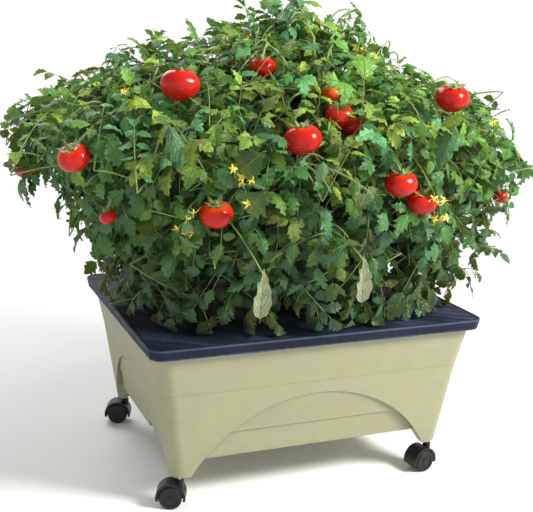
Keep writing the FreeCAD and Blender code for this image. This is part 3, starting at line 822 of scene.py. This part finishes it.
# where the flower clusters are
FLOWERS = [
    (-0.332, -0.192, 0.711), (-0.208, -0.356, 0.592), (-0.187, -0.359, 0.592), (-0.195, -0.36, 0.574),
    (-0.27, -0.319, 0.539), (-0.271, -0.305, 0.511), (-0.262, -0.308, 0.503), (0.065, -0.182, 0.774),
    (0.07, -0.212, 0.761), (0.127, -0.368, 0.557), (0.145, -0.358, 0.532), (0.138, -0.356, 0.52),
    (0.24, -0.332, 0.659), (-0.101, -0.141, 0.787), (-0.35, 0.07, 0.705),
    (-0.1, 0.335, 0.6), (0.22, 0.33, 0.56), (0.33, 0.23, 0.7), (-0.28, 0.3, 0.52),
]
# single leaves: stalk end, tip, width, colour place, brightness, paleness
ACCENT_LEAVES = [
    ((-0.07, -0.395, 0.572), (-0.056, -0.385, 0.503), 1.15, 0.22, 1.35, 0.25),
    ((-0.298, -0.31, 0.673), (-0.282, -0.346, 0.61), 0.9, 0.85, 1.1, 0.0),
    ((0.161, -0.356, 0.672), (0.117, -0.389, 0.61), 0.9, 0.85, 1.1, 0.0),
    ((-0.137, -0.3, 0.425), (-0.128, -0.262, 0.34), 0.4, 0.2, 1.0, 0.95),
    ((0.033, -0.315, 0.44), (0.048, -0.28, 0.358), 0.45, 0.2, 1.0, 0.95),
    ((-0.17, -0.375, 0.634), (-0.223, -0.37, 0.603), 1.2, 0.62, 0.55, 0.0),
    ((-0.173, -0.383, 0.58), (-0.2, -0.362, 0.526), 1.25, 0.62, 0.6, 0.0),
    ((-0.219, -0.3, 0.444), (-0.203, -0.24, 0.375), 0.9, 0.06, 0.42, 0.0),
    ((-0.266, -0.319, 0.5), (-0.278, -0.27, 0.447), 0.8, 0.97, 1.25, 0.0),
    ((-0.085, -0.39, 0.623), (-0.085, -0.398, 0.578), 0.95, 0.97, 1.35, 0.15),
    ((-0.016, -0.4, 0.576), (-0.008, -0.39, 0.537), 1.0, 0.95, 1.2, 0.0),
    ((-0.029, -0.37, 0.499), (0.002, -0.345, 0.447), 0.9, 0.45, 1.1, 0.0),
    ((-0.024, -0.107, 0.815), (-0.047, -0.053, 0.85), 0.8, 0.9, 1.4, 0.0),
    ((-0.019, -0.094, 0.82), (0.043, -0.073, 0.85), 0.8, 0.55, 1.2, 0.0),
]
# tips of the shoots that stand out of the mass
SHOOTS = [
    (-0.46, 0.107, 0.671), (-0.43, 0.06, 0.69), (-0.402, 0.095, 0.708), (-0.344, 0.098, 0.735),
    (-0.287, 0.092, 0.771), (-0.217, 0.088, 0.805), (-0.194, -0.036, 0.795), (-0.113, -0.026, 0.822),
    (-0.045, -0.056, 0.84), (0.003, -0.041, 0.86), (0.036, -0.055, 0.845), (0.106, -0.054, 0.822),
    (0.147, -0.079, 0.82), (0.153, -0.128, 0.79), (0.182, -0.213, 0.745), (0.282, -0.2, 0.725),
    (0.28, -0.297, 0.665), (0.338, -0.298, 0.58), (0.372, -0.24, 0.526), (-0.4, -0.043, 0.47),
    (-0.455, 0.069, 0.631), (0.338, -0.17, 0.35), (0.345, -0.235, 0.42), (0.405, 0.1, 0.64),
    (-0.15, 0.29, 0.7), (0.12, 0.29, 0.69), (-0.33, 0.28, 0.65),
]
# foot and top of old woody shoots behind the gaps
GAP_STEMS = [
    ((-0.166, -0.135, 0.306), (-0.176, -0.15, 0.45)), ((0.19, -0.135, 0.306), (0.172, -0.165, 0.47)),
]
# the fruit in the middle of the front that is still orange
ORANGE_FRUIT_X, ORANGE_SHIFT = 0.005, -0.45
# places deep in the plants that can be seen into
DARK_GAPS = [(-0.165, -0.179, 0.390), (0.169, -0.201, 0.425), (0.180, -0.185, 0.400)]
# leaf tips on the left that hang over the hidden fruit
LEFT_TIPS = np.array([
    (-0.466, 0.01, 0.585), (-0.47, 0.025, 0.562), (-0.46, -0.002, 0.545), (-0.472, 0.05, 0.6),
    (-0.466, 0.035, 0.538), (-0.454, -0.015, 0.57), (-0.474, 0.07, 0.575), (-0.456, 0.012, 0.53),
])


# ---- growing the plants ----
BRANCHES = 15
HIDDEN_FRUIT_X = -0.44


def stem_line(plant, root):
    """The main stem, from the mix up through the crown."""
    co = stem_points(plant)
    high = co[co[:, 2] > co[:, 2].max() - 0.01].mean(axis=0)
    low = np.array((root[0], root[1], co[:, 2].min() + 0.01))
    t = np.linspace(0, 1, 15)[:, None]
    line = low + (high - low) * t
    line[1:-1, :2] += 0.004 * np.sin(np.arange(13)[:, None] * 1.9 + np.array((0.0, 1.3)))
    return line


def cell_of(points):
    """Which plant each point of the mound belongs to."""
    column = np.digitize(points[:, 0], (-0.125, 0.13))
    row = (points[:, 1] > 0).astype(int)
    return row * 3 + column


def grows_on(index, point):
    return cell_of(np.array([point]))[0] == index


def nearest(branches, point):
    return branches[norm(branches - point, axis=1).argmin()]


def leaf_tone_and_painted_light(tip, shade):
    """Colour place and brightness of a leaf: bluish green high up, more yellow low down. The brightness
    holds painted light high up and painted shade low down, times the layer's painted shade.
    """
    kind = rng.random()
    high = np.clip((tip[2] - 0.34) / 0.36, 0, 1)
    yellow = 0.07 + 0.33 * high ** 2
    blue = 0.42 - 0.22 * high ** 2
    if kind < yellow:
        tone, light = rng.uniform(0.05, 0.34), rng.uniform(0.50, 1.25)
    elif kind < 1 - blue:
        tone, light = rng.uniform(0.36, 0.74), rng.uniform(0.50, 1.50)
    else:
        tone, light = rng.uniform(0.80, 1.0), rng.uniform(0.75, 1.75)
    # painted light high up and painted shade low down, on top of the random brightness
    return tone, light * shade * (0.56 + 0.80 * high + 0.56 * high ** 2)


def grow_leaf(tubes, blades, tip, outward, branches, shade, size):
    """A compound leaf that ends at tip, on a twig from the nearest branch."""
    low = np.clip((0.50 - tip[2]) / 0.16, 0, 1)
    high = np.clip((tip[2] - 0.66) / 0.12, 0, 1)
    ahead = unit(outward * 0.85 + UP * (0.30 * high - 0.45 * low) + rng.normal(0, 0.42, 3))
    length = rng.uniform(0.085, 0.135) * size
    base = tip - ahead * length * 0.96
    near = nearest(branches, base)
    if norm(near - base) > 0.012:
        twig = bent(near, base, UP * 0.02 + rng.normal(0, 0.010, 3), 6)
        tubes.add(twig, np.linspace(0.0019, 0.0012, 6), 0.12, 4)
    face = unit(outward * 0.60 + UP * 0.70 + rng.normal(0, 0.34, 3))
    line = bent(base, tip, face * length * 0.16, 8)
    tubes.add(line, np.linspace(0.0012, 0.0005, 8), 0.05, 4)
    along = unit(np.gradient(line, axis=0))
    tone, light = leaf_tone_and_painted_light(tip, shade)
    for t in np.linspace(0.24, 0.86, rng.integers(3, 5)):
        place = np.array([np.interp(t, np.linspace(0, 1, 8), line[:, k]) for k in range(3)])
        run = along[int(t * 7)]
        side = unit(np.cross(face, run))
        grow = size * (0.021 + 0.019 * sin(pi * min(0.9, 0.2 + t * 0.7)))
        for sign in (-1, 1):
            open_angle = radians(rng.uniform(45, 78))
            out = run * cos(open_angle) + side * sign * sin(open_angle)
            out = out - face * rng.uniform(-0.05, 0.30) - UP * rng.uniform(0, 0.25)
            out = out + rng.normal(0, 0.12, 3)
            blades.add(place, out, face + rng.normal(0, 0.30, 3), grow * rng.uniform(0.75, 1.15),
                       np.clip(tone + rng.normal(0, 0.05), 0, 1), light * rng.uniform(0.82, 1.15))
    last = along[-1]
    blades.add(line[-1] - last * 0.004, last - UP * 0.25 + rng.normal(0, 0.12, 3), face,
               size * rng.uniform(0.036, 0.052), tone, light)


def grow_plant(index, plant, root, layers):
    """A plant's trunk, its branches to points of the outer layer, and its leaves."""
    tubes, blades = Tubes(), Blades()
    trunk = stem_line(plant, root)
    height = trunk[:, 2]
    age = np.clip(1.15 - (height - COVER_Z) / 0.20, 0.1, 1)
    tubes.add(trunk, np.interp(height, (0.25, 0.34, 0.70), (0.0082, 0.0068, 0.0030)), age, 10)
    outer = layers[0][0]
    mine = outer[cell_of(outer) == index]
    branches = [trunk[height > 0.36]]
    for end in mine[rng.choice(len(mine), BRANCHES, replace=False)]:
        middle = np.array((trunk[-1, 0] * 0.6, trunk[-1, 1] * 0.6, end[2]))
        end = middle + (end - middle) * rng.uniform(0.64, 0.84)
        fork = np.clip(end[2] - rng.uniform(0.06, 0.20), 0.345, 0.66)
        begin = trunk[np.abs(height - fork).argmin()]
        line = bent(begin, end, UP * 0.035 + rng.normal(0, 0.014, 3), 12, 0.0018)
        tubes.add(line, np.linspace(0.0040, 0.0016, 12), np.linspace(0.35, 0.05, 12), 6)
        branches.append(line[3:])
    branches = np.concatenate(branches)
    for points, shade, low_size, high_size in layers:
        for tip in points[cell_of(points) == index]:
            size = rng.uniform(low_size, high_size) * (1.30 if rng.random() < 0.14 else 1.0)
            grow_leaf(tubes, blades, tip, mound_normal(tip), branches, shade, size)
    return tubes, blades, branches


def accent_reach(pale):
    """How far a single leaf stands out towards the viewer."""
    return 0.010 + 0.055 * pale


def fruit_windows():
    """Where leaves are left out: start, direction, radius, and the shares of the radius that
    are kept free along the direction and round the start."""
    windows = []
    r = np.random.default_rng(3)
    for plant in PLANTS:
        for centre, size in fruit_places(plant):
            if centre[0] < HIDDEN_FRUIT_X:
                continue
            in_view = centre[1] < 0.02
            outward = towards_camera(centre) if in_view else mound_normal(centre)
            windows.append((centre, outward, size / 2, r.uniform(0.30, 0.72), 0.95))
    for start, end, _, _, _, pale in ACCENT_LEAVES:
        if pale > LIMP:
            start, end = np.array(start), np.array(end)
            toward = towards_camera(start)
            centre = (start + end) / 2 + toward * (accent_reach(pale) + 0.040)
            windows.append((centre, toward, 0.028, 1.0, 0.2))
    for gap in DARK_GAPS:
        windows.append((np.array(gap), towards_camera(gap), 0.011, 1.0, 0.9))
    return windows


def keep_leaflets(windows):
    """A test for leaflets that stay in the limits, off the film and out of the windows."""
    def keep(points):
        over = ((np.abs(points[..., 0]) < HALF_LENGTH) & (np.abs(points[..., 1]) < HALF_WIDTH)).all(axis=1)
        lowest = np.where(over, COVER_Z - 0.07, COVER_Z - 0.008)
        kept = (np.abs(points) < LIMIT).all(axis=(1, 2)) & (points[..., 2].min(axis=1) > lowest)
        for centre, outward, radius, open_share, ball_share in windows:
            off = points - centre
            ahead = off @ outward
            aside = norm(off - ahead[..., None] * outward, axis=-1)
            shown = (ahead > -0.3 * radius) & (aside < radius * open_share)
            inside = norm(off, axis=-1) < radius * ball_share
            kept &= ~(shown.any(axis=1) | inside.any(axis=1))
        return kept
    return keep


def star(strips, centre, axis, length, count, curl):
    """Adds the strips of a star of sepals or petals round an axis."""
    side = unit(np.cross(axis, (0.3, 0.9, 0.2)))
    third = np.cross(axis, side)
    for i in range(count):
        a = 2 * pi * i / count + rng.normal(0, 0.15)
        out = side * cos(a) + third * sin(a)
        across = np.cross(axis, out)
        strips.append(
            (centre, out, across, axis, length * rng.uniform(0.8, 1.15), curl * rng.uniform(0.6, 1.3)))


def strip_mesh(strips, width, steps=8):
    """Pointed strips that leave a centre and curl up or down: sepals and petals."""
    points, faces = [], []
    for n, (centre, out, across, axis, length, curl) in enumerate(strips):
        t = np.linspace(0, 1, steps)
        half = width * length * np.sin(pi * np.clip(t * 0.80 + 0.14, 0, 1)) ** 1.1
        half[-1] = 0.0003
        path = centre + out * (t * length)[:, None] + axis * (curl * length * (t - 0.25) * t)[:, None]
        ridge = axis * (0.12 * half)[:, None]
        block = np.stack([path - across * half[:, None], path - ridge, path + across * half[:, None]], 1)
        points.append(block.reshape(-1, 3))
        faces.append(grid_faces(steps, 3) + n * steps * 3)
    return np.concatenate(points), np.concatenate(faces)


def make_fruit(plant, tubes, branches, seed):
    points, faces, ripeness, sepals, count = [], [], [], [], 0
    for i, (centre, size) in enumerate(fruit_places(plant)):
        radius = size / 2
        outward = mound_normal(centre)
        axis = unit(UP + outward * 0.30 + rng.normal(0, 0.14, 3))
        ripe_shift = ORANGE_SHIFT if abs(centre[0] - ORANGE_FRUIT_X) < 0.002 else 0.0
        p, f, ripe = fruit_mesh(centre, radius, axis, seed + i)
        points.append(p)
        faces.append(f + count)
        ripeness.append(ripe + ripe_shift)
        count += len(p)
        neck = centre + axis * radius * 0.60
        star(sepals, neck, axis, radius * 0.80, 6, 0.55)
        near = nearest(branches, neck + UP * 0.03 - outward * 0.05)
        stalk = bent(centre + axis * radius * 0.45, near, UP * 0.022, 10)
        tubes.add(stalk, np.linspace(0.0022, 0.0017, 10), 0.08, 6)
        knuckle = [neck + axis * step for step in (-0.002, 0.004, 0.007)]
        tubes.add(knuckle, (0.0034, 0.0036, 0.0022), 0.1, 8)
    o = mesh_object(f"plant_{plant}_tomatoes", np.concatenate(points), np.concatenate(faces), "tomato_skin")
    point_value(o, "ripeness", np.concatenate(ripeness))
    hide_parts(f"plant_{plant}_fruit")
    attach(o, "root")
    p, f = strip_mesh(sepals, 0.16)
    calyx = mesh_object(f"plant_{plant}_calyx", p, f, "stem")
    point_value(calyx, "age", np.full(len(p), 0.08))
    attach(calyx, "root")


def add_accents(index, tubes, blades, branches):
    """Single leaves that stand out of the mass."""
    for start, end, width, tone, light, pale in ACCENT_LEAVES:
        if not grows_on(index, start):
            continue
        start, end = np.array(start), np.array(end)
        nearer = towards_camera(start) * accent_reach(pale)
        start, end = start + nearer, end + nearer
        outward = mound_normal(start)
        near = nearest(branches, start - outward * 0.05)
        tubes.add(bent(near, start, UP * 0.02, 8), np.linspace(0.0017, 0.0010, 8), 0.05, 5)
        size = float(norm(end - start)) * 1.1
        facing = unit(outward * 0.8 + UP * 0.3 + towards_camera(start) * 0.5)
        if pale > LIMP:
            blades.add(end, start - end, facing, size, tone, light, 0.85, pale, len(TEMPLATES) - 1)
        else:
            blades.add(start, end - start, facing, size, tone, light, width, pale)


def add_gap_stems(index, tubes):
    """Old woody shoots that rise from the plant's foot behind the gaps."""
    for low, high in np.array(GAP_STEMS):
        if grows_on(index, low):
            tubes.add(bent(low, high, (0.004, 0, 0), 10, 0.0015), 0.0046, 0.95, 8)


def add_shoots(index, tubes, blades, branches):
    """Young shoots with small leaves up their length."""
    for tip in np.array(SHOOTS):
        if not grows_on(index, tip):
            continue
        outward = mound_normal(tip)
        tip = tip - outward * 0.032
        inside = tip - outward * 0.10 - UP * 0.02
        tubes.add(bent(nearest(branches, inside), inside, UP * 0.01, 8), 0.0022, 0.15, 5)
        line = bent(inside, tip, UP * 0.008 + rng.normal(0, 0.006, 3), 12, 0.001)
        tubes.add(line, np.linspace(0.0022, 0.0009, 12), np.linspace(0.15, 0.0, 12), 5)
        for at in (5, 7, 8, 9, 10, 11):
            side = rng.normal(0, 1, 3)
            heading = unit(unit(line[at] - line[at - 1]) * 0.7 + side / norm(side))
            size = rng.uniform(0.45, 0.75)
            leaf_tip = line[at] + heading * 0.065 * size
            grow_leaf(tubes, blades, leaf_tip, heading, line[at:at + 1], 1.1, size)


def make_flowers(plant, index, tubes, branches):
    """Clusters of yellow stars with swept-back petals round a narrow cone."""
    petals = []
    for centre in np.array(FLOWERS):
        if not grows_on(index, centre):
            continue
        outward = mound_normal(centre)
        near = nearest(branches, centre - outward * 0.05)
        hub = centre - outward * 0.012
        tubes.add(bent(near, hub, UP * 0.02, 8), np.linspace(0.0014, 0.0009, 8), 0.05, 5)
        for _ in range(2):
            facing = unit(outward + UP * 0.1 + rng.normal(0, 0.5, 3))
            heart = centre + facing * 0.006 + rng.normal(0, 0.007, 3)
            tubes.add(bent(hub, heart, UP * 0.006, 5), 0.0007, 0.05, 4)
            star(petals, heart, facing, rng.uniform(0.0060, 0.0085), 5, -0.6)
            star(petals, heart, facing, 0.0035, 3, 3.5)
    if not petals:
        return
    points, faces = strip_mesh(petals, 0.20)
    o = mesh_object(f"plant_{plant}_flowers", points, faces, "petal")
    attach(o, "root")


def make_plants():
    """Six plants. The leaves are in layers: where their tips are, how bright (the deeper layers get painted
    shade), how large.
    """
    layers = [
        (even_points(760, 1.0, 0.318, 21), 1.0, 0.70, 1.15),
        # the deeper layers' brightness of 0.55 and 0.34 is painted shade
        (even_points(340, 0.85, 0.325, 22), 0.55, 0.95, 1.35),
        (even_points(170, 0.62, 0.33, 23), 0.34, 1.1, 1.5),
        (LEFT_TIPS, 0.9, 0.8, 1.0),
    ]
    windows = fruit_windows()
    for index, (plant, root) in enumerate(zip(PLANTS, plant_roots())):
        tubes, blades, branches = grow_plant(index, plant, root, layers)
        add_gap_stems(index, tubes)
        add_accents(index, tubes, blades, branches)
        add_shoots(index, tubes, blades, branches)
        make_fruit(plant, tubes, branches, 300 + 20 * index)
        make_flowers(plant, index, tubes, branches)
        stems = tubes.object(f"plant_{plant}_stems")
        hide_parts(f"plant_{plant}_stem")
        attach(stems, "root")
        leaves = blades.object(f"plant_{plant}_leaves", keep_leaflets(windows))
        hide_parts(f"plant_{plant}_crown")
        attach(leaves, "root")


# ---- studio ----
def floor_material():
    """Off-white, and clearer the further out it is."""
    m, nt, bsdf = blank("floor")
    colour = ramp(nt, noise(nt, 1.5), [(0.3, (0.88, 0.88, 0.875)), (0.7, (0.90, 0.90, 0.895))])
    place = add(nt, "TexCoord").outputs["Object"]
    far = add(nt, "VectorMath", {0: place}, operation="LENGTH").outputs["Value"]
    fade = spread(nt, far, 1.0, 0.0, (0.55, 1.85))
    plug(nt, bsdf, {"Base Color": colour, "Roughness": 0.9, "Alpha": fade})
    return m


def make_floor():
    rings, sides, reach = 14, 96, 1.95
    radii, turns = np.linspace(0.0005, reach, rings), np.arange(sides) * 2 * pi / sides
    r, a = np.meshgrid(radii, turns, indexing="ij")
    points = np.stack([r * np.cos(a), r * np.sin(a), np.full(r.shape, -0.0002)], -1).reshape(-1, 3)
    MATERIALS["floor"] = floor_material()
    floor = mesh_object("floor", points, grid_faces(rings, sides, closed=True), "floor")


def area_light(name, place, target, size, power, colour=(1, 1, 1)):
    data = bpy.data.lights.new(name, "AREA")
    data.shape = "SQUARE"
    data.size = size
    data.energy = power
    data.color = colour
    light = bpy.data.objects.new(name, data)
    light.location = place
    light.rotation_euler = (Vector(target) - Vector(place)).to_track_quat("-Z", "Y").to_euler()
    bpy.context.scene.collection.objects.link(light)


def make_lights():
    world = bpy.data.worlds.new("studio")
    world.use_nodes = True
    nt = world.node_tree
    glow = spread(nt, height_of(nt, "Generated"), 1.05, 0.45, (0.03, 0.50))
    plug(nt, nt.nodes["Background"], {"Color": (1, 1, 1, 1), "Strength": glow})
    scene = bpy.context.scene
    scene.world = world
    scene.view_settings.view_transform = "Standard"
    middle = (0, 0, 0.45)
    area_light("key", (1.5, -1.7, 1.9), middle, 0.8, 118, (1.0, 0.985, 0.96))
    area_light("rim", (-0.6, 2.6, 2.6), middle, 2.0, 60)


make_camera()
dress_nodes()
make_cover()
make_soil()
make_plants()
make_floor()
make_lights()
